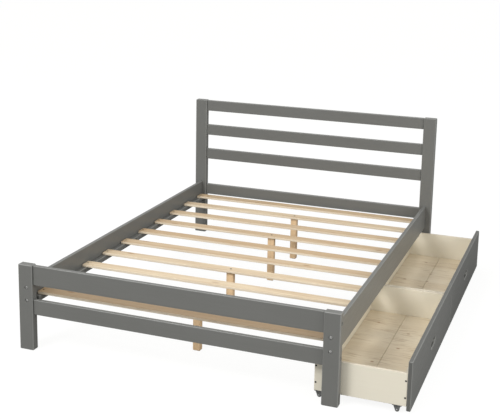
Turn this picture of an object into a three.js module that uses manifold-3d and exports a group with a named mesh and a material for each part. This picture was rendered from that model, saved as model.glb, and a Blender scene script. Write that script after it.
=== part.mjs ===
// Platform bed with two storage drawers that roll out from under its right-hand side.
// Millimetres. +X is to the right for a person at the foot who faces the head, +Y runs from foot to head,
// +Z is up. The origin is on the floor, under the middle of the bed's box with the drawers pulled out.
import * as THREE from "three";
import { ConvexGeometry } from "three/addons/geometries/ConvexGeometry.js";
import { mergeVertices } from "three/addons/utils/BufferGeometryUtils.js";
import Module from "manifold-3d";

// ---- Driving dimensions ----
const BED_WIDTH = 1481; // over the outer faces of the posts
const BED_LENGTH = 1999; // over the end faces of the posts
const HEAD_HEIGHT = 843;
const FOOT_HEIGHT = 399;
const INSIDE_WIDTH = 1384; // between the side rails, where the mattress lies
const FOOT_CLEARANCE = 168; // floor to the underside of the lower foot rail
const FIT = 0.3; // gap left between pieces that touch

const POST = { width: 70, depth: 38, edge: 3 };
const POST_TOP_PROUD = 2; // how far the posts stand above the rails they carry

const END_RAIL_THICKNESS = 20; // every rail that crosses between two posts
const HEAD_RAIL = { height: 64, pitch: 151.5, lowestTop: 312 };
const FOOT_TOP_RAIL_HEIGHT = 91;
const FOOT_LOW_RAIL_HEIGHT = 70;
const TENON = { length: 12, thickness: 10, shoulder: 8, edge: 1 };
const MORTISE_SPARE_DEPTH = 1; // how much deeper than its tenon a mortise is

const SIDE_RAIL = { thickness: 18, height: 130, bottom: 199 };
const LEDGER = { width: 25, height: 20, endGap: 12 };
const SLAT = { count: 10, width: 60, thickness: 12, pitch: 199.8, top: 255, endGap: 3, edge: 1.2 };
const LEG = { width: 36, depth: 30, edge: 3, slats: [2, 4, 7, 9] }; // the slats that stand on a centre leg
const BOARD_EDGE = 2; // chamfer on the edges of every other board

const BOLT = {
  headRadius: 6.5,
  headHeight: 4,
  headEdge: 1,
  shankRadius: 3.5,
  tipEdge: 1.5,
  length: 78,
  socketRadius: 2.6,
};
const COUNTERBORE = { radius: 7.8, depth: 6.5 };
const BOLT_HOLE_RADIUS = 4.2;
const SIDE_BOLT_SPACING = 60; // between the two bolts that hold each end of a side rail

const DRAWER = {
  length: 945, // along the bed
  depth: 399, // from the back panel to the outer face of the front
  gap: 3, // between the two fronts
  pulledOut: 292, // how far both are drawn out from closed
};
const FRONT = { thickness: 18, bottom: 14, top: 225, edge: 2.5 };
const BOX = { wall: 12, bottom: 33, top: 175, floor: 9, inset: 2, edge: 1 };
const HAND_SLOT = { length: 108, height: 32, rim: 3, endSteps: 12 }; // rim: its chamfer on the outside
const CLOSED_FRONT_GAP = 3; // between a closed drawer's front and the side rail behind it

const CASTER = {
  plateLength: 41,
  plateWidth: 30,
  plateThickness: 2.5,
  plateEdge: 0.5,
  cheekTopLength: 37,
  cheekThickness: 2,
  cheekTipRadius: 7,
  cheekSlope: Math.PI / 7, // between level and the end of the round tip, so the sides leave it smoothly
  cheekGap: 0.6, // on each side of the wheel
  axleRadius: 2,
  axleEnd: 1, // how far the axle stands out of each cheek
  frontSetback: 38, // from the box's front face to the caster's middle
};
const WHEEL = { radius: 9, width: 12, bore: 2.4, edge: 1.5 };

const ROUND_SEGMENTS = 20;
const SMALL_ROUND_SEGMENTS = 10;
const ARC_DIVISIONS = 6;
const HEX_SIDES = 6;
const CUT_OVERSHOOT = 1; // how far a cutter runs past the face it opens
const MERGE_DISTANCE = 1e-4;

// ---- Places worked out from the driving dimensions ----
const halfWidth = BED_WIDTH / 2;
const halfLength = BED_LENGTH / 2;
const postX = halfWidth - POST.width / 2;
const postY = halfLength - POST.depth / 2;
const postInnerFaceX = halfWidth - POST.width;
const postInnerFaceY = halfLength - POST.depth;
const railOuterX = INSIDE_WIDTH / 2 + SIDE_RAIL.thickness;
const sideRailX = INSIDE_WIDTH / 2 + SIDE_RAIL.thickness / 2;
const sideRailMiddle = SIDE_RAIL.bottom + SIDE_RAIL.height / 2;
const slatBottom = SLAT.top - SLAT.thickness;
const ledgerTop = slatBottom - FIT;

const closedFrontX = railOuterX + CLOSED_FRONT_GAP + FRONT.thickness;
const frontOuterX = closedFrontX + DRAWER.pulledOut;
const boxFrontX = frontOuterX - FRONT.thickness;
const boxBackX = frontOuterX - DRAWER.depth;
const slotZ = (FRONT.bottom + FRONT.top) / 2;
const drawerY = (DRAWER.length + DRAWER.gap) / 2;
const originX = (frontOuterX - halfWidth) / 2;

// ---- Materials ----
const paint = new THREE.MeshStandardMaterial({ color: 0x70716c, roughness: 0.55, metalness: 0 });
const pine = new THREE.MeshStandardMaterial({ color: 0xe2c8a0, roughness: 0.65, metalness: 0 });
const legPine = new THREE.MeshStandardMaterial({ color: 0xc9ab86, roughness: 0.65, metalness: 0 });
const boxBoard = new THREE.MeshStandardMaterial({ color: 0xdcd2c0, roughness: 0.5, metalness: 0 });
const plywood = new THREE.MeshStandardMaterial({ color: 0xd0ba96, roughness: 0.6, metalness: 0 });
const darkSteel = new THREE.MeshStandardMaterial({ color: 0x6c6c6a, roughness: 0.5, metalness: 0.4 });
const wheelPlastic = new THREE.MeshStandardMaterial({ color: 0x4a4a48, roughness: 0.6, metalness: 0 });
const boltSteel = new THREE.MeshStandardMaterial({ color: 0xb4b6b8, roughness: 0.3, metalness: 1 });

// ---- Booleans ----
const wasm = await Module();
wasm.setup();

function toSolid(geometry) {
  const bare = geometry.clone();
  bare.deleteAttribute("normal");
  bare.deleteAttribute("uv");
  const merged = mergeVertices(bare, MERGE_DISTANCE);
  return new wasm.Manifold(
    new wasm.Mesh({
      numProp: 3,
      vertProperties: merged.attributes.position.array,
      triVerts: new Uint32Array(merged.index.array),
    }),
  );
}

function toGeometry(solid) {
  const { vertProperties, triVerts } = solid.getMesh();
  const indexed = new THREE.BufferGeometry();
  indexed.setAttribute("position", new THREE.BufferAttribute(new Float32Array(vertProperties), 3));
  indexed.setIndex(new THREE.BufferAttribute(new Uint32Array(triVerts), 1));
  const flat = indexed.toNonIndexed();
  flat.computeVertexNormals();
  return flat;
}

const subtractAll = (body, cutters) =>
  toGeometry(cutters.reduce((left, cutter) => left.subtract(toSolid(cutter)), toSolid(body)));
const addAll = (pieces) =>
  toGeometry(pieces.slice(1).reduce((sum, piece) => sum.add(toSolid(piece)), toSolid(pieces[0])));

// ---- Shapes ----
// A board of the given size, centred on the origin, with a chamfer along all its edges.
function board(x, y, z, edge = BOARD_EDGE) {
  const corners = [];
  for (const sx of [-1, 1]) {
    for (const sy of [-1, 1]) {
      for (const sz of [-1, 1]) {
        const [cx, cy, cz] = [(sx * x) / 2, (sy * y) / 2, (sz * z) / 2];
        corners.push(new THREE.Vector3(cx - sx * edge, cy - sy * edge, cz));
        corners.push(new THREE.Vector3(cx - sx * edge, cy, cz - sz * edge));
        corners.push(new THREE.Vector3(cx, cy - sy * edge, cz - sz * edge));
      }
    }
  }
  return new ConvexGeometry(corners);
}

// A cylinder with its middle at a place and its axis along x or y.
function rod(radius, length, axis, [x, y, z], segments = ROUND_SEGMENTS) {
  const made = new THREE.CylinderGeometry(radius, radius, length, segments);
  if (axis === "x") made.rotateZ(Math.PI / 2);
  return made.translate(x, y, z);
}

// The hole and counterbore for a bolt driven in along x or y, from the face at `face`, right through a
// piece of the given depth. `inward` is the sign of the direction that the bolt goes in.
function boltHole(axis, face, inward, [x, y, z], depth) {
  const at = (distance) => {
    const along = face + inward * distance;
    return axis === "x" ? [along, y, z] : [x, along, z];
  };
  const seatDepth = COUNTERBORE.depth + CUT_OVERSHOOT;
  const through = rod(BOLT_HOLE_RADIUS, depth + 2 * CUT_OVERSHOOT, axis, at(depth / 2));
  const seat = rod(COUNTERBORE.radius, seatDepth, axis, at(seatDepth / 2 - CUT_OVERSHOOT));
  return [through, seat];
}

// ---- Scene graph ----
const bed = new THREE.Group();
const frame = new THREE.Group();
frame.position.x = -originX;
bed.add(frame);

function place(parent, name, geometry, material, [x, y, z]) {
  const mesh = new THREE.Mesh(geometry, material);
  mesh.name = name;
  mesh.position.set(x, y, z);
  parent.add(mesh);
}

const sides = [
  { side: "left", sign: -1 },
  { side: "right", sign: 1 },
];
const boltLevels = [
  { level: "upper", height: sideRailMiddle + SIDE_BOLT_SPACING / 2 },
  { level: "lower", height: sideRailMiddle - SIDE_BOLT_SPACING / 2 },
];

// ---- Headboard: two posts with three slim rails above and one at mattress height ----
const highestRailTop = HEAD_HEIGHT - POST_TOP_PROUD;
const headRails = [
  { name: "head_rail_top", top: highestRailTop },
  { name: "head_rail_upper", top: highestRailTop - HEAD_RAIL.pitch },
  { name: "head_rail_middle", top: highestRailTop - 2 * HEAD_RAIL.pitch },
  { name: "head_rail_bottom", top: HEAD_RAIL.lowestTop },
];
const tongueHeight = HEAD_RAIL.height - 2 * TENON.shoulder;

// The full section between the posts, and a thinner, lower tongue into each post.
function headRail() {
  const shoulderToShoulder = 2 * (postInnerFaceX - FIT);
  const overTongues = shoulderToShoulder + 2 * TENON.length;
  const body = board(shoulderToShoulder, END_RAIL_THICKNESS, HEAD_RAIL.height);
  const tongue = board(overTongues, TENON.thickness, tongueHeight, TENON.edge);
  return addAll([body, tongue]);
}

// The pocket for a tongue, in the face of a post centred on the origin that looks along `inward`.
function mortise(inward, z) {
  const depth = TENON.length + MORTISE_SPARE_DEPTH;
  const pocket = new THREE.BoxGeometry(2 * depth, TENON.thickness + 2 * FIT, tongueHeight + 2 * FIT);
  return pocket.translate((inward * POST.width) / 2, 0, z);
}

for (const { side, sign } of sides) {
  const cuts = [];
  for (const { top } of headRails) {
    cuts.push(mortise(-sign, top - HEAD_RAIL.height / 2 - HEAD_HEIGHT / 2));
  }
  for (const { height } of boltLevels) {
    const hole = [sign * (sideRailX - postX), 0, height - HEAD_HEIGHT / 2];
    cuts.push(...boltHole("y", POST.depth / 2, -1, hole, POST.depth));
  }
  const post = subtractAll(board(POST.width, POST.depth, HEAD_HEIGHT, POST.edge), cuts);
  place(frame, `head_post_${side}`, post, paint, [sign * postX, postY, HEAD_HEIGHT / 2]);
}
for (const { name, top } of headRails) {
  place(frame, name, headRail(), paint, [0, postY, top - HEAD_RAIL.height / 2]);
}

// ---- Footboard: two short posts, a deep top rail and a lower rail, bolted through the posts ----
const footRails = [
  { name: "foot_rail_top", height: FOOT_TOP_RAIL_HEIGHT, top: FOOT_HEIGHT - POST_TOP_PROUD },
  { name: "foot_rail_bottom", height: FOOT_LOW_RAIL_HEIGHT, top: FOOT_CLEARANCE + FOOT_LOW_RAIL_HEIGHT },
];

for (const { side, sign } of sides) {
  const cuts = [];
  for (const { height } of boltLevels) {
    const hole = [sign * (sideRailX - postX), 0, height - FOOT_HEIGHT / 2];
    cuts.push(...boltHole("y", -POST.depth / 2, 1, hole, POST.depth));
  }
  for (const { height, top } of footRails) {
    const hole = [0, 0, top - height / 2 - FOOT_HEIGHT / 2];
    cuts.push(...boltHole("x", (sign * POST.width) / 2, -sign, hole, POST.width));
  }
  const post = subtractAll(board(POST.width, POST.depth, FOOT_HEIGHT, POST.edge), cuts);
  place(frame, `foot_post_${side}`, post, paint, [sign * postX, -postY, FOOT_HEIGHT / 2]);
}
for (const { name, height, top } of footRails) {
  const rail = board(2 * (postInnerFaceX - FIT), END_RAIL_THICKNESS, height);
  place(frame, name, rail, paint, [0, -postY, top - height / 2]);
}

// ---- Side rails, each with a ledger on its inner face that the slats rest on ----
const railLength = 2 * (postInnerFaceY - FIT);
const boltReach = BOLT.length - POST.depth + COUNTERBORE.depth; // how far a bolt goes into the rail's end

// The four holes in the ends of a side rail centred on the origin.
function railEndHoles() {
  const holes = [];
  for (const end of [-1, 1]) {
    for (const { height } of boltLevels) {
      const at = [0, (end * railLength) / 2, height - sideRailMiddle];
      holes.push(rod(BOLT_HOLE_RADIUS, 2 * boltReach, "y", at, SMALL_ROUND_SEGMENTS));
    }
  }
  return holes;
}

for (const { side, sign } of sides) {
  const rail = subtractAll(board(SIDE_RAIL.thickness, railLength, SIDE_RAIL.height), railEndHoles());
  place(frame, `side_rail_${side}`, rail, paint, [sign * sideRailX, 0, sideRailMiddle]);

  const ledger = board(LEDGER.width, railLength - 2 * LEDGER.endGap, LEDGER.height);
  const ledgerX = sign * (INSIDE_WIDTH / 2 - FIT - LEDGER.width / 2);
  place(frame, `slat_ledger_${side}`, ledger, paint, [ledgerX, 0, ledgerTop - LEDGER.height / 2]);
}

// ---- The bolts through the foot posts into the side rails: a round head with a hex socket, and a shank ----
function bolt() {
  const { headRadius, headHeight, headEdge, shankRadius, tipEdge, length, socketRadius } = BOLT;
  const profile = [
    [0, 0],
    [headRadius - headEdge, 0],
    [headRadius, headEdge],
    [headRadius, headHeight],
    [shankRadius, headHeight],
    [shankRadius, length - tipEdge],
    [shankRadius - tipEdge, length],
    [0, length],
  ].map(([radius, along]) => new THREE.Vector2(radius, along));
  const turned = new THREE.LatheGeometry(profile, SMALL_ROUND_SEGMENTS);
  const socket = new THREE.CylinderGeometry(socketRadius, socketRadius, headHeight, HEX_SIDES);
  return subtractAll(turned, [socket]);
}

const boltRecess = COUNTERBORE.depth - BOLT.headHeight - FIT; // how far the head is below the post's face
for (const { side, sign } of sides) {
  for (const { level, height } of boltLevels) {
    const at = [sign * sideRailX, -halfLength + boltRecess, height];
    place(frame, `foot_bolt_${side}_${level}`, bolt(), boltSteel, at);
  }
}

// ---- Slats across the ledgers, numbered from the head, and the four legs under their middles ----
const slatLength = INSIDE_WIDTH - 2 * SLAT.endGap;
const slatY = (number) => ((SLAT.count + 1) / 2 - number) * SLAT.pitch;

for (let number = 1; number <= SLAT.count; number += 1) {
  const slat = board(slatLength, SLAT.width, SLAT.thickness, SLAT.edge);
  const name = `slat_${String(number).padStart(2, "0")}`;
  place(frame, name, slat, pine, [0, slatY(number), SLAT.top - SLAT.thickness / 2]);
}
LEG.slats.forEach((number, i) => {
  const height = slatBottom - FIT;
  const leg = board(LEG.width, LEG.depth, height, LEG.edge);
  place(frame, `centre_leg_${i + 1}`, leg, legPine, [0, slatY(number), height / 2]);
});

// ---- Drawers ----
// The hand slot's outline, with its round ends, at a place along X. The slot can be drawn larger all round.
function slotOutline(x, growth) {
  const radius = HAND_SLOT.height / 2 + growth;
  const reach = (HAND_SLOT.length - HAND_SLOT.height) / 2;
  const points = [];
  for (const end of [-1, 1]) {
    for (let step = 0; step <= HAND_SLOT.endSteps; step += 1) {
      const angle = Math.PI * (step / HAND_SLOT.endSteps - 0.5);
      const y = end * (reach + radius * Math.cos(angle));
      points.push(new THREE.Vector3(x, y, radius * Math.sin(angle)));
    }
  }
  return points;
}

// A panel that faces along X, with the hand slot cut right through it and a chamfer round it on the +X face.
function slottedPanel(thickness, length, height, edge, slotOffset, rim) {
  const face = thickness / 2;
  const past = face + CUT_OVERSHOOT;
  const between = (first, second) => new ConvexGeometry([...first, ...second]);
  const cutters = [between(slotOutline(-past, 0), slotOutline(past, 0))];
  if (rim > 0) cutters.push(between(slotOutline(face - rim, 0), slotOutline(past, rim + CUT_OVERSHOOT)));
  for (const cutter of cutters) cutter.translate(0, 0, slotOffset);
  return subtractAll(board(thickness, length, height, edge), cutters);
}

// A fixed caster's bracket: a screw plate, two tapering cheeks and the axle between them.
// Its origin is on the axle's middle, with the plate above.
function casterBracket() {
  const plateMiddle = BOX.bottom - FIT - CASTER.plateThickness / 2 - WHEEL.radius;
  const plate = board(CASTER.plateLength, CASTER.plateWidth, CASTER.plateThickness, CASTER.plateEdge);
  plate.translate(0, 0, plateMiddle);

  const halfTop = CASTER.cheekTopLength / 2;
  const outline = new THREE.Shape();
  outline.moveTo(-halfTop, plateMiddle);
  outline.absarc(0, 0, CASTER.cheekTipRadius, Math.PI + CASTER.cheekSlope, 2 * Math.PI - CASTER.cheekSlope);
  outline.lineTo(halfTop, plateMiddle);

  const cheekInner = WHEEL.width / 2 + CASTER.cheekGap;
  const cheekOuter = cheekInner + CASTER.cheekThickness;
  const cheeks = [-cheekInner, cheekOuter].map((y) => {
    const cheek = new THREE.ExtrudeGeometry(outline, {
      depth: CASTER.cheekThickness,
      bevelEnabled: false,
      curveSegments: ARC_DIVISIONS,
    });
    return cheek.rotateX(Math.PI / 2).translate(0, y, 0);
  });

  const axleLength = 2 * (cheekOuter + CASTER.axleEnd);
  const axle = rod(CASTER.axleRadius, axleLength, "y", [0, 0, 0], SMALL_ROUND_SEGMENTS);
  return addAll([plate, ...cheeks, axle]);
}

// A ring round the axle, with chamfered tread corners.
function casterWheel() {
  const { radius, width, bore, edge } = WHEEL;
  const half = width / 2;
  const profile = [
    [bore, -half],
    [radius - edge, -half],
    [radius, -half + edge],
    [radius, half - edge],
    [radius - edge, half],
    [bore, half],
    [bore, -half],
  ].map(([distance, along]) => new THREE.Vector2(distance, along));
  return new THREE.LatheGeometry(profile, ROUND_SEGMENTS);
}

const boxLength = DRAWER.length - 2 * BOX.inset;
const boxDepth = boxFrontX - boxBackX - FIT;
const boxHeight = BOX.top - BOX.bottom;
const boxX = boxBackX + boxDepth / 2;
const boxZ = (BOX.top + BOX.bottom) / 2;
const betweenEnds = boxLength - 2 * (BOX.wall + FIT);
const betweenFrontAndBack = boxDepth - 2 * (BOX.wall + FIT);
const boxEnds = [
  { end: "foot", sign: -1 },
  { end: "head", sign: 1 },
];
const casterPlaces = [
  { where: "front", x: boxFrontX - CASTER.frontSetback },
  { where: "back", x: boxBackX + CASTER.plateLength / 2 },
];

// The box has two end panels of the full depth, with the inner front, the back and the floor between them.
// The front is screwed to the inner front, and the hand slot goes through both.
function drawer(name, centreY) {
  const group = new THREE.Group();
  group.position.y = centreY;
  frame.add(group);

  const frontHeight = FRONT.top - FRONT.bottom;
  const front = slottedPanel(FRONT.thickness, DRAWER.length, frontHeight, FRONT.edge, 0, HAND_SLOT.rim);
  place(group, `${name}_front`, front, paint, [frontOuterX - FRONT.thickness / 2, 0, slotZ]);

  const innerFront = slottedPanel(BOX.wall, betweenEnds, boxHeight, BOX.edge, slotZ - boxZ, 0);
  const innerFrontX = boxBackX + boxDepth - BOX.wall / 2;
  place(group, `${name}_inner_front`, innerFront, boxBoard, [innerFrontX, 0, boxZ]);

  const back = board(BOX.wall, betweenEnds, boxHeight, BOX.edge);
  place(group, `${name}_back`, back, boxBoard, [boxBackX + BOX.wall / 2, 0, boxZ]);

  const bottom = board(betweenFrontAndBack, betweenEnds, BOX.floor, BOX.edge);
  place(group, `${name}_bottom`, bottom, plywood, [boxX, 0, BOX.bottom + BOX.floor / 2]);

  for (const { end, sign } of boxEnds) {
    const panel = board(boxDepth, BOX.wall, boxHeight, BOX.edge);
    place(group, `${name}_${end}_end`, panel, boxBoard, [boxX, sign * (boxLength / 2 - BOX.wall / 2), boxZ]);

    for (const { where, x } of casterPlaces) {
      const at = [x, sign * (boxLength / 2 - CASTER.plateWidth / 2), WHEEL.radius];
      place(group, `${name}_caster_${end}_${where}`, casterBracket(), darkSteel, at);
      place(group, `${name}_wheel_${end}_${where}`, casterWheel(), wheelPlastic, at);
    }
  }
}
drawer("foot_drawer", -drawerY);
drawer("head_drawer", drawerY);

export default bed;
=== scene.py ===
"""The looks of a platform bed with two storage drawers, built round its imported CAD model. Metres, +Z up."""
import math

import bmesh
import bpy
from mathutils import Matrix, Vector


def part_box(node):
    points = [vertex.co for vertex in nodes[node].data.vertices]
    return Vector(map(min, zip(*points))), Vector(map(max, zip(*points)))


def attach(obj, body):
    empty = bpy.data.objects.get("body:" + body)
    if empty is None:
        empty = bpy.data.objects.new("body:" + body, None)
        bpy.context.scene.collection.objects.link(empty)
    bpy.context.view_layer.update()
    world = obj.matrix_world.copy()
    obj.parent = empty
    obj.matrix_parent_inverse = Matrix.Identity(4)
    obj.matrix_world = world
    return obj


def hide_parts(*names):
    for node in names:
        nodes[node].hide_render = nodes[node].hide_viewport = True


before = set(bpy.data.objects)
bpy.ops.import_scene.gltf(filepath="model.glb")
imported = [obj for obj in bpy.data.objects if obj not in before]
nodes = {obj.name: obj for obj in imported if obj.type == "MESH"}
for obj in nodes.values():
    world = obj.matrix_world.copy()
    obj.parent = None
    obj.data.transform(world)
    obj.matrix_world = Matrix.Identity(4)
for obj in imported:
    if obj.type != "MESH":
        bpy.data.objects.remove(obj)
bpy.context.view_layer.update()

MM = 0.001
SIDES = ("left", "right")
ENDS = ("foot", "head")
DRAWERS = ("foot_drawer", "head_drawer")
CORNERS = ("foot_front", "foot_back", "head_front", "head_back")  # of a drawer
HEAD_RAILS = ("head_rail_top", "head_rail_upper", "head_rail_middle", "head_rail_bottom")
FOOT_RAILS = ("foot_rail_top", "foot_rail_bottom")
SLATS = [f"slat_{number:02d}" for number in range(1, 11)]
LEGS = [f"centre_leg_{number}" for number in range(1, 5)]
LEG_SLATS = ("slat_02", "slat_04", "slat_07", "slat_09")  # the slat on top of each leg

X, Y, Z = Vector((1, 0, 0)), Vector((0, 1, 0)), Vector((0, 0, 1))


def middle(node):
    """The middle of a CAD node's box."""
    low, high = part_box(node)
    return (low + high) / 2


# ---- Camera ----
CAMERA_PLACE = (1.511, -4.534, 1.856)
CAMERA_TURN = 0.3545  # radians, from straight up the bed towards its left side
CAMERA_DROP = 0.2029  # radians below level
CAMERA_ROLL = 0.0202  # radians
CAMERA_LENS = 70.75  # mm, on a sensor of CAMERA_SENSOR
CAMERA_SENSOR = 36  # mm
CAMERA_SHIFT = -0.15  # of the picture's width, so that the bed's uprights stay upright


def make_camera():
    """A camera in front of the foot, to its right, that looks along the bed at its left side."""
    data = bpy.data.cameras.new("camera")
    data.sensor_width = CAMERA_SENSOR
    data.lens = CAMERA_LENS
    data.shift_y = CAMERA_SHIFT
    camera = bpy.data.objects.new("camera", data)
    bpy.context.scene.collection.objects.link(camera)
    turn = Matrix.Rotation(CAMERA_TURN, 4, "Z")
    drop = Matrix.Rotation(math.pi / 2 - CAMERA_DROP, 4, "X")
    roll = Matrix.Rotation(CAMERA_ROLL, 4, "Z")
    camera.matrix_world = Matrix.Translation(CAMERA_PLACE) @ turn @ drop @ roll
    bpy.context.scene.camera = camera


# ---- Node trees ----
class Nodes:
    """One material's node tree, with a short call for each kind of node that the materials share."""

    def __init__(self, name):
        self.material = bpy.data.materials.new(name)
        self.material.use_nodes = True
        self.tree = self.material.node_tree
        self.shader = self.tree.nodes["Principled BSDF"]
        self.coordinates = self.add("ShaderNodeTexCoord").outputs["Object"]

    def add(self, kind, inputs=None, **settings):
        """A new node, with its inputs given by name or number and its settings by name."""
        node = self.tree.nodes.new(kind)
        for key, value in settings.items():
            setattr(node, key, value)
        for key, value in (inputs or {}).items():
            self.feed(node.inputs[key], value)
        return node

    def feed(self, socket, value):
        """Links a socket to an input, or writes a plain value into it."""
        if isinstance(value, bpy.types.NodeSocket):
            self.tree.links.new(value, socket)
        else:
            socket.default_value = value

    def math(self, operation, first, second=0.0):
        return self.add("ShaderNodeMath", {0: first, 1: second}, operation=operation).outputs[0]

    def stretched(self, scale, offset=(0, 0, 0)):
        """The object's own coordinates, moved by an offset and then scaled along each axis.

        A scale is how many features of a texture there are in each metre.
        """
        moved = self.add("ShaderNodeVectorMath", {0: self.coordinates, 1: offset}, operation="ADD")
        inputs = {0: moved.outputs[0], 1: scale}
        return self.add("ShaderNodeVectorMath", inputs, operation="MULTIPLY").outputs[0]

    def split(self, vector):
        """A vector's three numbers."""
        return self.add("ShaderNodeSeparateXYZ", {0: vector}).outputs

    def noise(self, vector, detail=3.0, roughness=0.5):
        """Soft noise round 0.5."""
        settings = {"Vector": vector, "Scale": 1.0, "Detail": detail, "Roughness": roughness}
        return self.add("ShaderNodeTexNoise", settings).outputs["Fac"]

    def cells(self, vector):
        """Flat cells with a point in each: a random colour per cell and the distance to its point."""
        inputs = {"Vector": vector, "Scale": 1.0}
        return self.add("ShaderNodeTexVoronoi", inputs, voronoi_dimensions="2D").outputs

    def remap(self, value, from_low, from_high, to_low=0.0, to_high=1.0):
        """A value stretched from one range to another, and held at its ends."""
        inputs = {0: value, 1: from_low, 2: from_high, 3: to_low, 4: to_high}
        return self.add("ShaderNodeMapRange", inputs).outputs[0]

    def mix(self, share, first, second):
        """Two colours mixed. A colour is a socket or three linear numbers."""
        node = self.add("ShaderNodeMix", data_type="RGBA")
        self.feed(node.inputs[0], share)
        for index, colour in ((6, first), (7, second)):
            is_socket = isinstance(colour, bpy.types.NodeSocket)
            self.feed(node.inputs[index], colour if is_socket else (*colour, 1.0))
        return node.outputs[2]

    def facing(self):
        """How far the surface looks along each axis, either way: three sockets from 0 to 1."""
        normal = self.add("ShaderNodeNewGeometry").outputs["Normal"]
        return self.split(self.add("ShaderNodeVectorMath", {0: normal}, operation="ABSOLUTE").outputs[0])

    def edges(self):
        """1 on chamfers and rounded corners, where the surface looks between two axes, and 0 elsewhere."""
        facing = self.facing()
        most = self.math("MAXIMUM", facing[0], self.math("MAXIMUM", facing[1], facing[2]))
        return self.remap(most, 1.0, 0.88)

    def finish(self, colour, roughness, height, depth, strength):
        """Joins a colour, a roughness and a bump, at most `depth` metres high, to the shader."""
        bump = self.add("ShaderNodeBump", {"Height": height, "Distance": depth, "Strength": strength})
        self.feed(self.shader.inputs["Base Color"], colour)
        self.feed(self.shader.inputs["Roughness"], roughness)
        self.feed(self.shader.inputs["Normal"], bump.outputs[0])
        return self.material


def along_axis(axis, along, across):
    """A scale for each axis: `along` on the board's own axis and `across` on the other two."""
    return [along if index == axis else across for index in range(3)]


def other_axes(axis):
    """The two axes across a board."""
    return [index for index in range(3) if index != axis]


# ---- Materials ----
# Colours are linear. A noise mostly stays within NOISE_RANGE, and the sum of two within SUM_RANGE.
NOISE_RANGE = (0.3, 0.7)
SUM_RANGE = (0.7, 1.3)

PAINT = Vector((0.150, 0.151, 0.142))
PAINT_DARK = Vector((0.139, 0.140, 0.131))
PAINT_WORN_LIT_EDGE = (0.245, 0.247, 0.235)
PAINT_WEAR_AND_HIGHLIGHT = 0.6  # how far the paint turns to the lighter corner grey on corners: partly paint rubbed thin, partly a painted highlight
PAINT_GLOSS = 0.6
PAINT_RELIEF = 0.2 * MM


def grey_paint(name, axis, painted_shade=1.0, gloss=PAINT_GLOSS):
    """Satin paint over pine, with the wood's grain just showing through along the board's own axis.

    The shade argument scales the colour down, as painted shade, and gloss is the strength of the paint's
    reflections.
    """
    n = Nodes(name)
    grain = n.noise(n.stretched(along_axis(axis, 9, 260)), detail=4, roughness=0.6)
    cloud = n.noise(n.stretched((3, 3, 3)), detail=2)
    orange_peel = n.noise(n.stretched((700, 700, 700)), detail=2)
    tone = n.remap(n.math("ADD", grain, cloud), *SUM_RANGE)
    colour = n.mix(tone, PAINT_DARK * painted_shade, PAINT * painted_shade)
    # Corners turn a lighter grey: partly paint rubbed thin, partly a painted highlight where the rounded
    # corners catch light.
    colour = n.mix(n.math("MULTIPLY", n.edges(), PAINT_WEAR_AND_HIGHLIGHT), colour, PAINT_WORN_LIT_EDGE)
    roughness = n.remap(n.math("ADD", grain, orange_peel), *SUM_RANGE, 0.33, 0.47)
    height = n.math("ADD", grain, n.math("MULTIPLY", orange_peel, 0.5))
    n.shader.inputs["Specular IOR Level"].default_value = gloss
    return n.finish(colour, roughness, height, PAINT_RELIEF, strength=0.25)


RING_WIDTH = 6.2 * MM  # one year's growth
RING_WANDER = 30 * MM  # how far the rings stray, from one side to the other
KNOTS_ALONG = 3.4  # cells for each metre of board
KNOTS_ACROSS = 11.0
KNOT_RADIUS = (0.09, 0.045)  # of a cell, where a knot begins and where it is darkest
KNOT_RARITY = (0.78, 0.79)  # a cell has a knot when its random number is above these
KNOT = (0.30, 0.16, 0.075)
STREAK_SEED = 3  # a board's middle times this is its own offset into the streaks
KNOT_SEED = 37  # and into the knots
PINE_RELIEF = 0.3 * MM


def late_wood(n, place, axis, centre, pith):
    """1 in the dark part of each yearly ring, on a board at a place round the tree's pith."""
    wander = n.noise(n.stretched(along_axis(axis, 1.6, 9), -centre), detail=2)
    wobble = n.math("MULTIPLY", n.math("SUBTRACT", wander, 0.5), RING_WANDER)
    squares = []
    for index, distance in zip(other_axes(axis), pith):
        from_pith = n.math("ADD", n.math("SUBTRACT", place[index], distance), wobble)
        squares.append(n.math("MULTIPLY", from_pith, from_pith))
    radius = n.math("SQRT", n.math("ADD", *squares))
    ring = n.math("FRACT", n.math("MULTIPLY", radius, 1 / RING_WIDTH))
    return n.math("MULTIPLY", n.remap(ring, 0.25, 0.85), n.remap(ring, 1.0, 0.85))


def knots(n, place, axis, centre):
    """1 in the middle of each of a board's few small knots."""
    cell_place = n.add("ShaderNodeCombineXYZ", {0: n.math("MULTIPLY", place[axis], KNOTS_ALONG)})
    n.feed(cell_place.inputs[1], n.math("MULTIPLY", place[other_axes(axis)[0]], KNOTS_ACROSS))
    seeded = n.add("ShaderNodeVectorMath", {0: cell_place.outputs[0], 1: centre * KNOT_SEED}, operation="ADD")
    cells = n.cells(seeded.outputs[0])
    chosen = n.remap(n.split(cells["Color"])[0], *KNOT_RARITY)
    return n.math("MULTIPLY", chosen, n.remap(cells["Distance"], *KNOT_RADIUS))


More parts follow.
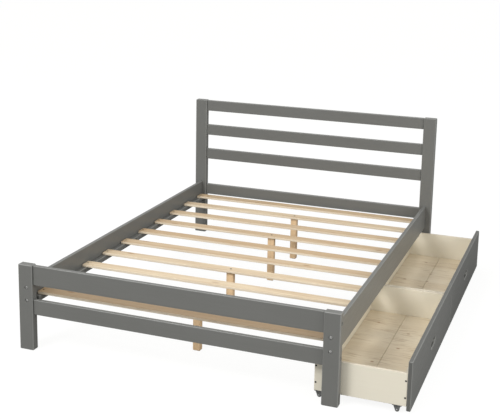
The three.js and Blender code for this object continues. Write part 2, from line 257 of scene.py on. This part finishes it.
def pine(name, axis, centre, pith, face, edge, late):
    """A planed board cut from one place in a log.

    centre is the board's middle and pith the tree's own middle, from there, across the board. face is the
    colour of its wide sides, edge that of its narrow ones and late that of its late wood.
    """
    n = Nodes(name)
    place = n.split(n.stretched((1, 1, 1), -centre))
    rings = late_wood(n, place, axis, centre, pith)
    knot = knots(n, place, axis, centre)
    fibre = n.noise(n.stretched(along_axis(axis, 14, 700)), detail=4, roughness=0.65)
    streak = n.noise(n.stretched(along_axis(axis, 1.7, 42), centre * STREAK_SEED), detail=3, roughness=0.6)

    wide_side = n.remap(n.facing()[2], 0.4, 0.9)
    colour = n.mix(wide_side, edge, face)
    colour = n.mix(n.math("MULTIPLY", rings, n.remap(wide_side, 0, 1, 0.25, 0.55)), colour, late)
    streaked = n.math("MULTIPLY", n.remap(streak, 0.44, 0.62), n.remap(wide_side, 0, 1, 0.3, 0.75))
    colour = n.mix(streaked, colour, late)
    colour = n.mix(n.remap(fibre, *NOISE_RANGE, 0.12, 0), colour, KNOT)
    colour = n.mix(n.math("MULTIPLY", knot, 0.7), colour, KNOT)
    roughness = n.remap(fibre, *NOISE_RANGE, 0.62, 0.48)
    height = n.math("ADD", fibre, n.math("MULTIPLY", rings, -0.3))
    return n.finish(colour, roughness, height, PINE_RELIEF, strength=0.4)


CREAM = (0.745, 0.70, 0.583)
CREAM_WARM = (0.735, 0.683, 0.565)
CREAM_EDGE = (0.62, 0.56, 0.45)  # the colour of faces that look up or down
COAT_RELIEF = 0.15 * MM
PLY = (0.715, 0.63, 0.48)
PLY_WARM = (0.635, 0.53, 0.375)
PLY_PORE = (0.40, 0.285, 0.165)
PLY_KNOTS = (4.2, 5.5, 1)  # cells for each metre along and across the sheet
PLY_KNOT_RADIUS = (0.045, 0.02)  # of a cell, like KNOT_RADIUS
PLY_RELIEF = 0.3 * MM


def coated_board(axis):
    """A pale cream foil on board: a faint printed grain, slightly glossy and warmer on its corners.

    The faces that look up or down are darker and flecked.
    """
    n = Nodes(f"coated_board_{'xyz'[axis]}")
    grain = n.noise(n.stretched(along_axis(axis, 3.5, 90)), detail=4, roughness=0.6)
    cloud = n.noise(n.stretched((5, 5, 5)), detail=2)
    texture = n.noise(n.stretched((900, 900, 900)), detail=2)
    colour = n.mix(n.remap(n.math("ADD", grain, cloud), *SUM_RANGE), CREAM, CREAM_WARM)
    colour = n.mix(n.math("MULTIPLY", n.edges(), 0.5), colour, PLY)
    fleck = n.remap(n.noise(n.stretched(along_axis(axis, 60, 400)), detail=2), 0.5, 0.62)
    top_and_bottom_colour = n.mix(n.math("MULTIPLY", fleck, 0.5), CREAM_EDGE, PLY_PORE)
    # Faces that look up or down turn darker and flecked.
    colour = n.mix(n.remap(n.facing()[2], 0.6, 0.9), colour, top_and_bottom_colour)
    roughness = n.remap(grain, *NOISE_RANGE, 0.34, 0.46)
    return n.finish(colour, roughness, texture, COAT_RELIEF, strength=0.3)


def plywood(name, seed):
    """Rotary-cut veneer with its grain along X: broad soft figure, short dark pores and a few small knots."""
    n = Nodes(name)
    offset = (seed, seed * 2, 0)
    figure = n.noise(n.stretched((1.6, 11, 11), offset), detail=3, roughness=0.55)
    fibre = n.noise(n.stretched((16, 520, 520), offset), detail=4, roughness=0.6)
    dashes = n.noise(n.stretched((11, 150, 150), offset), detail=2, roughness=0.5)
    patch = n.remap(n.noise(n.stretched((4, 6, 6), offset), detail=2), 0.38, 0.52)
    dash = n.math("MULTIPLY", n.remap(dashes, 0.56, 0.64), patch)
    cells = n.cells(n.stretched(PLY_KNOTS, offset))
    knot = n.remap(cells["Distance"], *PLY_KNOT_RADIUS)
    colour = n.mix(n.remap(figure, 0.38, 0.68), PLY, PLY_WARM)
    colour = n.mix(n.remap(fibre, *NOISE_RANGE, 0.2, 0), colour, PLY_PORE)
    colour = n.mix(n.math("MULTIPLY", dash, 0.7), colour, PLY_PORE)
    colour = n.mix(n.math("MULTIPLY", knot, 0.8), colour, KNOT)
    roughness = n.remap(fibre, *NOISE_RANGE, 0.5, 0.4)
    return n.finish(colour, roughness, n.math("SUBTRACT", fibre, dash), PLY_RELIEF, strength=0.4)


# Each steel: its name, its light and dark colour, how metallic it is, and its least and most roughness.
STEELS = (
    ("bolt_steel", (0.74, 0.74, 0.73), (0.52, 0.52, 0.51), 1.0, 0.30, 0.44),
    ("black_steel", (0.03, 0.028, 0.026), (0.012, 0.012, 0.012), 0.2, 0.45, 0.65),
    ("caster_steel", (0.20, 0.205, 0.20), (0.13, 0.132, 0.13), 0.4, 0.38, 0.55),
    ("axle_steel", (0.50, 0.50, 0.49), (0.36, 0.36, 0.36), 0.9, 0.3, 0.45),
)
METAL_RELIEF = 0.06 * MM
PLASTIC = (0.065, 0.066, 0.063)
PLASTIC_DUST = (0.125, 0.125, 0.12)
PLASTIC_RELIEF = 0.1 * MM


def metal(name, light, dark, metallic, smooth, rough):
    """Steel with fine handling marks. Its roughness goes from smooth to rough with them."""
    n = Nodes(name)
    marks = n.noise(n.stretched((900, 1400, 500)), detail=5, roughness=0.65)
    cloud = n.noise(n.stretched((120, 120, 120)), detail=2)
    colour = n.mix(n.remap(n.math("ADD", marks, cloud), *SUM_RANGE), dark, light)
    n.shader.inputs["Metallic"].default_value = metallic
    return n.finish(colour, n.remap(marks, *NOISE_RANGE, smooth, rough), marks, METAL_RELIEF, strength=0.3)


def moulded_plastic():
    """Dark wheel plastic, scuffed and dusty."""
    n = Nodes("wheel_plastic")
    grain = n.noise(n.stretched((1300, 1300, 1300)), detail=3)
    dust = n.noise(n.stretched((160, 160, 160)), detail=4, roughness=0.65)
    colour = n.mix(n.remap(dust, 0.4, 0.7), PLASTIC, PLASTIC_DUST)
    return n.finish(colour, n.remap(dust, 0.35, 0.7, 0.42, 0.62), grain, PLASTIC_RELIEF, strength=0.4)


# ---- Meshes ----
SMOOTH_ANGLE = math.radians(35)


def new_piece(name, shape, material, body, replaces=()):
    """Turns a bmesh into a piece that rides on a body, with its sharp corners kept and the rest smooth."""
    bmesh.ops.recalc_face_normals(shape, faces=shape.faces)
    mesh = bpy.data.meshes.new(name)
    shape.to_mesh(mesh)
    shape.free()
    mesh.materials.append(material)
    mesh.shade_smooth()
    mesh.set_sharp_from_angle(angle=SMOOTH_ANGLE)
    piece = bpy.data.objects.new(name, mesh)
    bpy.context.scene.collection.objects.link(piece)
    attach(piece, body)
    if replaces:
        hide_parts(*replaces)
    return piece


def looking(at, facing):
    """Where a shape made round its own Z axis goes so that its Z axis faces a way in the row's frame."""
    return Matrix.Translation(at) @ facing.to_track_quat("Z", "Y").to_matrix().to_4x4()


def ring_of(shape, outline, height, where):
    """The corners of a flat outline, added to a shape at a height on its own Z axis."""
    return [shape.verts.new(where @ Vector((x, y, height))) for x, y in outline]


def join_rings(shape, first, second):
    """A band of faces between two rings with the same number of corners."""
    for index in range(len(first)):
        after = (index + 1) % len(first)
        shape.faces.new((first[index], first[after], second[after], second[index]))


def stack(shape, rings):
    """A closed solid through a row of rings, with a flat face over each end."""
    for first, second in zip(rings, rings[1:]):
        join_rings(shape, first, second)
    shape.faces.new(rings[0])
    shape.faces.new(rings[-1])


def circle(radius, segments):
    """The outline of a circle round (0, 0)."""
    steps = [2 * math.pi * index / segments for index in range(segments)]
    return [(radius * math.cos(step), radius * math.sin(step)) for step in steps]


def cross(reach, half_width):
    """The outline of a plus: how far its arms reach, and half of how wide they are."""
    corner = [(reach, -half_width), (reach, half_width), (half_width, half_width)]
    turns = [Matrix.Rotation(quarter * math.pi / 2, 2) for quarter in range(4)]
    return [tuple(turn @ Vector(point)) for turn in turns for point in corner]


# ---- CAD nodes that stay, with rounder corners and their own finish ----
PAINTED_RADIUS = 0.9 * MM
BOARD_RADIUS = 0.4 * MM
WELD_REACH = 0.01 * MM
FLAT_ANGLE = math.radians(0.5)  # faces that meet at less than this are one flat face
CORNER_ANGLE = math.radians(30)
ROUND_STEPS = 2


def soften(node, material, radius):
    """Rounds a CAD node's chamfers with modifiers and gives it a material. Its own mesh stays as it is."""
    piece = nodes[node]
    weld = piece.modifiers.new("weld", "WELD")
    weld.merge_threshold = WELD_REACH
    flatten = piece.modifiers.new("flatten", "DECIMATE")
    flatten.decimate_type = "DISSOLVE"
    flatten.angle_limit = FLAT_ANGLE
    bevel = piece.modifiers.new("round", "BEVEL")
    bevel.width = radius
    bevel.segments = ROUND_STEPS
    bevel.limit_method = "ANGLE"
    bevel.angle_limit = CORNER_ANGLE
    bevel.harden_normals = True
    piece.material_slots[0].material = material


FRONT_PAINTED_SHADES = (0.80, 0.73)  # each drawer front's paint colour is darkened from the frame's: painted shade for the weaker light on the fronts' outer faces, deeper on the head drawer for the light's fall-off along the bed; the fronts are also duller
FRONT_GLOSS = 0.2


def finish_frame():
    """Paints the posts, rails, ledgers and drawer fronts, with the grain along each board."""
    paints = [grey_paint(f"grey_paint_{'xyz'[axis]}", axis) for axis in range(3)]
    for end in ENDS:
        for side in SIDES:
            soften(f"{end}_post_{side}", paints[2], PAINTED_RADIUS)
    for node in (*HEAD_RAILS, *FOOT_RAILS):
        soften(node, paints[0], PAINTED_RADIUS)
    for side in SIDES:
        soften(f"side_rail_{side}", paints[1], PAINTED_RADIUS)
        soften(f"slat_ledger_{side}", paints[1], PAINTED_RADIUS)
    # Each drawer front's paint is darkened by its share, as painted shade for the light that its outer face
    # lacks.
    for drawer, painted_shade in zip(DRAWERS, FRONT_PAINTED_SHADES):
        paint = grey_paint(f"{drawer}_paint", 1, painted_shade, FRONT_GLOSS)
        soften(f"{drawer}_front", paint, PAINTED_RADIUS)


# Each slat is its own cut of timber: how tan its wide side is, and where the pith lies across it in mm. The
# last slat's tan share is raised further, as painted shade for the shadow of the foot rail on it.
SLAT_CUTS = (
    (0.75, 14, -30),
    (0.22, -22, -26),
    (0.66, 6, -38),
    (0.72, -10, -24),
    (0.90, 18, -34),
    (0.60, -4, -28),
    (0.20, 26, -40),
    (0.05, -16, -32),
    (0.25, 9, -26),
    # painted shade: this slat is made darker for the foot rail's shadow on it
    (0.95, -27, -36),
)
SLAT_PALE = Vector((0.765, 0.647, 0.465))
SLAT_TAN = Vector((0.525, 0.375, 0.22))
SLAT_LATE = Vector((0.43, 0.28, 0.15))
SLAT_EDGE = (0.90, 0.79, 0.62)
LATE_SHARE = 0.62  # how far a slat's late wood is from its own colour to SLAT_LATE
LEG_FACE = (0.93, 0.66, 0.39)
LEG_LATE = (0.62, 0.44, 0.27)
LEG_PITH = (30 * MM, -24 * MM)
LEG_PITH_STEP = 9 * MM  # how much further off the pith is in each next leg


def finish_slats_and_legs():
    """Bare pine, cut differently for each slat and leg."""
    for node, (tan_and_painted_shade, pith_y, pith_z) in zip(SLATS, SLAT_CUTS):
        face = SLAT_PALE.lerp(SLAT_TAN, tan_and_painted_shade)
        late = face.lerp(SLAT_LATE, LATE_SHARE)
        material = pine(node, 0, middle(node), (pith_y * MM, pith_z * MM), face, SLAT_EDGE, late)
        soften(node, material, BOARD_RADIUS)
    for number, node in enumerate(LEGS):
        pith = (LEG_PITH[0] + number * LEG_PITH_STEP, LEG_PITH[1])
        material = pine(node, 2, middle(node), pith, LEG_FACE, LEG_FACE, LEG_LATE)
        soften(node, material, PAINTED_RADIUS)


def finish_drawer_boxes():
    """Gives the boards round each drawer their coat. Their floors are made as pieces below."""
    lengthwise, crosswise = coated_board(1), coated_board(0)
    for drawer in DRAWERS:
        soften(f"{drawer}_inner_front", lengthwise, BOARD_RADIUS)
        soften(f"{drawer}_back", lengthwise, BOARD_RADIUS)
        for end in ENDS:
            soften(f"{drawer}_{end}_end", crosswise, BOARD_RADIUS)


# ---- Drawer floors: two sheets of plywood that meet in a groove down the middle ----
GROOVE = 1.2 * MM
SHEET_EDGE = 0.7 * MM
PLY_SEEDS = (3.7, 5.1)  # one for each drawer's floor


def add_sheet(shape, low, high):
    """A sheet between two corners, with its top and bottom edges chamfered."""
    rows = ((low.z, SHEET_EDGE), (low.z + SHEET_EDGE, 0), (high.z - SHEET_EDGE, 0), (high.z, SHEET_EDGE))
    rings = []
    for height, inset in rows:
        x0, x1 = low.x + inset, high.x - inset
        y0, y1 = low.y + inset, high.y - inset
        outline = [(x0, y0), (x1, y0), (x1, y1), (x0, y1)]
        rings.append(ring_of(shape, outline, height, Matrix.Identity(4)))
    stack(shape, rings)


def make_drawer_floors():
    """Two sheets with a gap between them, in the place of each drawer's plain floor."""
    for drawer, seed in zip(DRAWERS, PLY_SEEDS):
        low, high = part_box(f"{drawer}_bottom")
        split = (low.x + high.x) / 2
        shape = bmesh.new()
        add_sheet(shape, low, Vector((split - GROOVE / 2, high.y, high.z)))
        add_sheet(shape, Vector((split + GROOVE / 2, low.y, low.z)), high)
        material = plywood(f"plywood_{drawer}", seed)
        new_piece(f"{drawer}_floor", shape, material, drawer, [f"{drawer}_bottom"])


# ---- Fasteners ----
TURNED_SEGMENTS = 24
PIT_TAPER = 0.8  # a pit's floor is this share of its mouth


class Fastener:
    """A bolt or screw: turned rings of (radius, height) in mm, and a pit in the flat face of the last one.

    Its Z axis points out of the surface that it is driven into, and height 0 is on that surface. A screw's
    pit stays above the surface, because the board under it has no hole.
    """

    def __init__(self, rings, pit, pit_depth):
        self.rings = [(radius * MM, height * MM) for radius, height in rings]
        self.pit = [(x * MM, y * MM) for x, y in pit]
        self.pit_depth = pit_depth * MM

    def add_to(self, shape, where):
        """Adds one fastener to a shape: its rings, then the ring-shaped face round its pit."""
        loops = []
        for radius, height in self.rings:
            loops.append(ring_of(shape, circle(radius, TURNED_SEGMENTS), height, where))
        for first, second in zip(loops, loops[1:]):
            join_rings(shape, first, second)
        shape.faces.new(loops[0])
        top = self.rings[-1][1]
        mouth = ring_of(shape, self.pit, top, where)
        narrowed = [(x * PIT_TAPER, y * PIT_TAPER) for x, y in self.pit]
        floor = ring_of(shape, narrowed, top - self.pit_depth, where)
        join_rings(shape, mouth, floor)
        shape.faces.new(floor)
        edges = []
        for loop in (loops[-1], mouth):
            for first, second in zip(loop, loop[1:] + loop[:1]):
                edges.append(shape.edges.get((first, second)) or shape.edges.new((first, second)))
        bmesh.ops.triangle_fill(shape, use_beauty=True, edges=edges)

    def drive(self, name, places, facing, material, body, replaces=()):
        """Makes one piece of these fasteners, one at each place, with their heads looking one way."""
        shape = bmesh.new()
        for place in places:
            self.add_to(shape, looking(place, facing))
        return new_piece(name, shape, material, body, replaces)


CAP_BOLT = Fastener(
    ((3.5, -70), (3.5, 0), (6.3, 0), (6.5, 0.3), (6.5, 2.6), (6.2, 3.4), (5.4, 3.9), (4.6, 4.0)),
    circle(2.7, 6), 2.6)
WOOD_SCREW = Fastener(
    ((1.8, -11), (1.8, -2.6), (4.1, -0.4), (4.25, 0.0), (4.1, 0.25), (3.5, 0.4)),
    cross(2.3, 0.55), 0.35)
LEG_SCREW = Fastener(
    ((2.4, -30), (2.4, -3.2), (5.6, -0.4), (5.8, 0.0), (5.6, 0.3), (4.6, 0.45)),
    cross(3.0, 0.7), 0.4)
PLATE_SCREW = Fastener(
    ((1.5, -9), (1.5, 0), (3.2, 0), (3.3, 0.4), (2.9, 1.0), (2.4, 1.3)),
    cross(1.7, 0.4), 0.8)

BOLT_SEAT = 6.2 * MM  # from a post's face to the underside of a bolt's head
SLAT_SCREW_INSET = 14 * MM  # from a slat's end
LEDGER_SCREWS = 7
SCREW_LEVELS = (0.25, 0.76)  # shares of a drawer box's height
SCREW_SHARES = (0.12, 0.36, 0.64, 0.88)  # and of its length


def make_frame_bolts(steel):
    """Bolts in the posts' counterbores, each with its head a little below the surface."""
    for side in SIDES:
        outward = X if side == "right" else -X
        low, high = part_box(f"foot_post_{side}")
        head_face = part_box(f"head_post_{side}")[1].y
        replaced = [f"foot_bolt_{side}_{level}" for level in ("upper", "lower")]
        heights = [middle(node).z for node in replaced]
        x = middle(replaced[0]).x

        at_foot = [Vector((x, low.y + BOLT_SEAT, z)) for z in heights]
        CAP_BOLT.drive(f"foot_bolts_{side}", at_foot, -Y, steel, "root", replaced)
        at_head = [Vector((x, head_face - BOLT_SEAT, z)) for z in heights]
        CAP_BOLT.drive(f"head_bolts_{side}", at_head, Y, steel, "root")
        face = high.x if side == "right" else low.x
        seat = Vector((face, (low.y + high.y) / 2, 0)) - BOLT_SEAT * outward
        across = [seat + middle(rail).z * Z for rail in FOOT_RAILS]
        CAP_BOLT.drive(f"foot_rail_bolts_{side}", across, outward, steel, "root")


def make_slat_screws(steel):
    """A screw near each end of every slat, and a bigger one through it into each leg."""
    low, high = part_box(SLATS[0])
    rows = (low.x + SLAT_SCREW_INSET, high.x - SLAT_SCREW_INSET)
    ends = [Vector((x, middle(node).y, high.z)) for node in SLATS for x in rows]
    WOOD_SCREW.drive("slat_screws", ends, Z, steel, "root")
    over_legs = [Vector((middle(node).x, middle(node).y, high.z)) for node in LEG_SLATS]
    LEG_SCREW.drive("leg_screws", over_legs, Z, steel, "root")


def make_ledger_screws(steel):
    """Screws that hold each ledger to its side rail, driven in from the middle of the bed."""
    for side in SIDES:
        inward = -X if side == "right" else X
        low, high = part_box(f"slat_ledger_{side}")
        x = low.x if side == "right" else high.x
        z = (low.z + high.z) / 2
        pitch = (high.y - low.y) / LEDGER_SCREWS
        places = [Vector((x, low.y + (index + 0.5) * pitch, z)) for index in range(LEDGER_SCREWS)]
        WOOD_SCREW.drive(f"ledger_screws_{side}", places, inward, steel, "root")


def make_box_screws(steel):
    """Screws through each end panel into the inner front and the back, and from inside into the front."""
    for drawer in DRAWERS:
        low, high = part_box(f"{drawer}_inner_front")
        heights = [low.z + share * (high.z - low.z) for share in SCREW_LEVELS]
        length = high.y - low.y
        places = [Vector((low.x, low.y + share * length, z)) for share in SCREW_SHARES for z in heights]
        WOOD_SCREW.drive(f"{drawer}_front_screws", places, -X, steel, drawer)

        for end in ENDS:
            panel_low, panel_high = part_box(f"{drawer}_{end}_end")
            outward, y = (-Y, panel_low.y) if end == "foot" else (Y, panel_high.y)
            columns = [middle(f"{drawer}_{part}").x for part in ("inner_front", "back")]
            places = [Vector((x, y, z)) for x in columns for z in heights]
            WOOD_SCREW.drive(f"{drawer}_{end}_end_screws", places, outward, steel, drawer)


# ---- Casters ----
PLATE = 2.5 * MM
PLATE_CORNER = 4 * MM
PLATE_EDGE = 0.4 * MM
PLATE_SCREW_INSET = 5.5 * MM
CHEEK = 2 * MM
CHEEK_GAP = 0.6 * MM  # on each side of the wheel
CHEEK_TOP = 19.5 * MM  # half its width under the plate
CHEEK_NECK = 15 * MM  # half its width where its flare ends
CHEEK_FLARE = 5 * MM
CHEEK_TIP = 7 * MM  # radius of its round end
CHEEK_EDGE = 0.35 * MM
ARC_STEPS = 8
AXLE_PROFILE = ((2.0, 0), (3.1, 0), (2.6, 0.55), (1.4, 1.0))  # half of it, past the outside of a cheek
WHEEL_PROFILE = ((2.4, 5.0), (3.5, 5.0), (3.9, 4.4), (6.3, 4.4), (6.7, 6.0), (7.8, 6.0), (8.5, 5.6),
                 (8.9, 4.8), (9.0, 3.8))  # radius and distance from the middle, from the bore to the tread
WHEEL_SEGMENTS = 48


def rounded_rectangle(length, width, corner):
    """The outline of a rectangle round (0, 0), with corners of a given radius."""
    points = []
    for quarter, (sx, sy) in enumerate(((1, 1), (-1, 1), (-1, -1), (1, -1))):
        cx, cy = sx * (length / 2 - corner), sy * (width / 2 - corner)
        for step in range(ARC_STEPS + 1):
            angle = (quarter + step / ARC_STEPS) * math.pi / 2
            points.append((cx + corner * math.cos(angle), cy + corner * math.sin(angle)))
    return points


def cheek_outline(drop):
    """A cheek from the side, with (0, 0) on the axle: a flare, straight flanks and a round tip."""
    neck = drop - CHEEK_FLARE
    lean = math.atan2(CHEEK_NECK, neck)
    touch = lean + math.acos(CHEEK_TIP / math.hypot(CHEEK_NECK, neck))  # where a flank meets the round tip
    points = [(-CHEEK_TOP, drop), (-CHEEK_NECK, neck)]
    for step in range(2 * ARC_STEPS + 1):
        angle = math.pi / 2 + touch + (2 * math.pi - 2 * touch) * step / (2 * ARC_STEPS)
        points.append((CHEEK_TIP * math.cos(angle), CHEEK_TIP * math.sin(angle)))
    return points + [(CHEEK_NECK, neck), (CHEEK_TOP, drop)]


def add_plate(shape, low, high):
    """The top plate of a bracket, as long and wide as the box between two corners."""
    centre = Vector(((low.x + high.x) / 2, (low.y + high.y) / 2, 0))
    rings = []
    for height, inset in ((high.z - PLATE, 0), (high.z - PLATE_EDGE, 0), (high.z, PLATE_EDGE)):
        size = (high.x - low.x - 2 * inset, high.y - low.y - 2 * inset)
        outline = rounded_rectangle(*size, PLATE_CORNER - inset)
        rings.append(ring_of(shape, outline, height, Matrix.Translation(centre)))
    stack(shape, rings)


def make_bracket(name, node, wheel, material, body):
    """A stamped bracket: a plate with rounded corners and two flared cheeks under it."""
    low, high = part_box(node)
    axle = middle(wheel)
    shape = bmesh.new()
    add_plate(shape, low, high)
    outline = cheek_outline(high.z - PLATE / 2 - axle.z)
    for sign in (-1, 1):
        near = axle + sign * cheek_inner_face(wheel) * Y
        layers = [near, near + sign * CHEEK * Y]
        stack(shape, [[shape.verts.new(at + x * X + z * Z) for x, z in outline] for at in layers])
    bracket = new_piece(name, shape, material, body, [node])
    edge = bracket.modifiers.new("round", "BEVEL")
    edge.width = CHEEK_EDGE
    edge.segments = ROUND_STEPS
    edge.limit_method = "ANGLE"


def cheek_inner_face(wheel):
    """How far from a wheel's middle each cheek begins."""
    low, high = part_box(wheel)
    return (high.y - low.y) / 2 + CHEEK_GAP


def make_axle(name, wheel, material, body):
    """The pin through the wheel, with a domed rivet head on the outside of each cheek."""
    reach = cheek_inner_face(wheel) + CHEEK
    half = [(radius * MM, reach + height * MM) for radius, height in AXLE_PROFILE]
    profile = [(radius, -height) for radius, height in reversed(half)] + half
    shape = bmesh.new()
    where = looking(middle(wheel), Y)
    rings = []
    for radius, height in profile:
        rings.append(ring_of(shape, circle(radius, TURNED_SEGMENTS), height, where))
    stack(shape, rings)
    new_piece(name, shape, material, body)


def make_wheel(name, node, material, body):
    """A wheel with a raised hub and rim on each face and a rounded tread, open round its axle."""
    half = [(radius * MM, height * MM) for radius, height in WHEEL_PROFILE]
    profile = half + [(radius, -height) for radius, height in reversed(half)]
    shape = bmesh.new()
    where = looking(middle(node), Y)
    rings = [ring_of(shape, circle(radius, WHEEL_SEGMENTS), height, where) for radius, height in profile]
    for first, second in zip(rings, rings[1:] + rings[:1]):
        join_rings(shape, first, second)
    new_piece(name, shape, material, body, [node])


def make_casters(steel, bright_steel, black_steel, plastic):
    """A bracket, an axle, a wheel and four screws in place of each plain caster."""
    for drawer in DRAWERS:
        for corner in CORNERS:
            node, wheel = f"{drawer}_caster_{corner}", f"{drawer}_wheel_{corner}"
            name = f"{drawer}_{corner}"
            make_bracket(f"{name}_bracket", node, wheel, steel, drawer)
            make_axle(f"{name}_axle", wheel, bright_steel, drawer)
            make_wheel(f"{name}_tyre", wheel, plastic, f"{name}_wheel")
            low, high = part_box(node)
            xs = (low.x + PLATE_SCREW_INSET, high.x - PLATE_SCREW_INSET)
            ys = (low.y + PLATE_SCREW_INSET, high.y - PLATE_SCREW_INSET)
            places = [Vector((x, y, high.z - PLATE)) for x in xs for y in ys]
            PLATE_SCREW.drive(f"{name}_plate_screws", places, -Z, black_steel, drawer)


# ---- Floor and light ----
STAGE_WHITE = (1.0, 1.0, 0.995)
STAGE_GLOW = 1.03  # strength of the background and of the floor's own light, as the camera sees them
FLOOR_REACH = 80
FLOOR_SEEN = (0.9, 0.9, 0.89)
FLOOR_BOUNCE = (0.27, 0.27, 0.265)  # the floor's colour to every ray but the camera's
FLOOR_GLOW_SHARE = 0.88  # the rest of what the camera sees of the floor is lit by the lights
FLOOR_ROUGHNESS = 0.9
BRIGHT_SIDE = (0.0, -0.37, 0.93)  # where the studio's walls and ceiling are brightest
STUDIO_LEVELS = (0.36, 1.0)  # their strength opposite BRIGHT_SIDE and towards it
# Each light: its name, its place, the point that it is aimed at, its size in metres and its power in watts.
LIGHTS = (
    ("key", (-2.3, -5.6, 5.4), (0, -0.3, 0.2), 2.6, 290),
    ("side", (3.2, -1.3, 1.3), (0.7, -0.7, 0.2), 1.6, 42),
)


def floor_material():
    """A pale material that mostly glows by itself where the camera sees it, so shadows on it stay faint."""
    n = Nodes("floor")
    seen = n.add("ShaderNodeLightPath").outputs["Is Camera Ray"]
    n.feed(n.shader.inputs["Base Color"], n.mix(seen, FLOOR_BOUNCE, FLOOR_SEEN))
    n.shader.inputs["Roughness"].default_value = FLOOR_ROUGHNESS
    glow = n.add("ShaderNodeEmission", {"Color": (*STAGE_WHITE, 1), "Strength": STAGE_GLOW})
    share = n.math("MULTIPLY", seen, FLOOR_GLOW_SHARE)
    both = n.add("ShaderNodeMixShader", {0: share, 1: n.shader.outputs[0], 2: glow.outputs[0]})
    n.tree.links.new(both.outputs[0], n.tree.nodes["Material Output"].inputs["Surface"])
    return n.material


def make_floor():
    """A wide level plane under the bed."""
    corners = [(x * FLOOR_REACH, y * FLOOR_REACH, 0) for x, y in ((-1, -1), (1, -1), (1, 1), (-1, 1))]
    mesh = bpy.data.meshes.new("floor")
    mesh.from_pydata(corners, [], [(0, 1, 2, 3)])
    floor = bpy.data.objects.new("floor", mesh)
    bpy.context.scene.collection.objects.link(floor)
    mesh.materials.append(floor_material())


def make_world():
    """Soft light from all round, brightest from above and from the foot, on a white background."""
    world = bpy.data.worlds.new("studio")
    world.use_nodes = True
    tree = world.node_tree
    soft = tree.nodes["Background"]
    soft.inputs["Color"].default_value = (*STAGE_WHITE, 1)
    white = tree.nodes.new("ShaderNodeBackground")
    white.inputs["Color"].default_value = (*STAGE_WHITE, 1)
    white.inputs["Strength"].default_value = STAGE_GLOW
    direction = tree.nodes.new("ShaderNodeTexCoord")
    toward = tree.nodes.new("ShaderNodeVectorMath")
    toward.operation = "DOT_PRODUCT"
    toward.inputs[1].default_value = BRIGHT_SIDE
    level = tree.nodes.new("ShaderNodeMapRange")
    for index, value in enumerate((-1.0, 1.0, *STUDIO_LEVELS), start=1):
        level.inputs[index].default_value = value
    path = tree.nodes.new("ShaderNodeLightPath")
    choice = tree.nodes.new("ShaderNodeMixShader")
    tree.links.new(direction.outputs["Generated"], toward.inputs[0])
    tree.links.new(toward.outputs["Value"], level.inputs[0])
    tree.links.new(level.outputs[0], soft.inputs["Strength"])
    tree.links.new(path.outputs["Is Camera Ray"], choice.inputs[0])
    tree.links.new(soft.outputs[0], choice.inputs[1])
    tree.links.new(white.outputs[0], choice.inputs[2])
    tree.links.new(choice.outputs[0], tree.nodes["World Output"].inputs["Surface"])
    bpy.context.scene.world = world


def softbox(name, place, aim, size, power):
    """A round area light."""
    data = bpy.data.lights.new(name, "AREA")
    data.shape = "DISK"
    data.size = size
    data.energy = power
    light = bpy.data.objects.new(name, data)
    bpy.context.scene.collection.objects.link(light)
    light.matrix_world = looking(Vector(place), Vector(place) - Vector(aim))


def make_light():
    """The studio's soft light, with a key light from the left and a weaker one from the drawers' side."""
    make_world()
    for light in LIGHTS:
        softbox(*light)


# ---- The bed ----
def make_bed():
    bolt_steel, black_steel, caster_steel, axle_steel = [metal(*steel) for steel in STEELS]
    finish_frame()
    finish_slats_and_legs()
    finish_drawer_boxes()
    make_drawer_floors()
    make_frame_bolts(bolt_steel)
    make_slat_screws(black_steel)
    make_ledger_screws(black_steel)
    make_box_screws(black_steel)
    make_casters(caster_steel, axle_steel, black_steel, moulded_plastic())


bpy.context.scene.view_settings.view_transform = "Standard"
make_camera()
make_floor()
make_light()
make_bed()
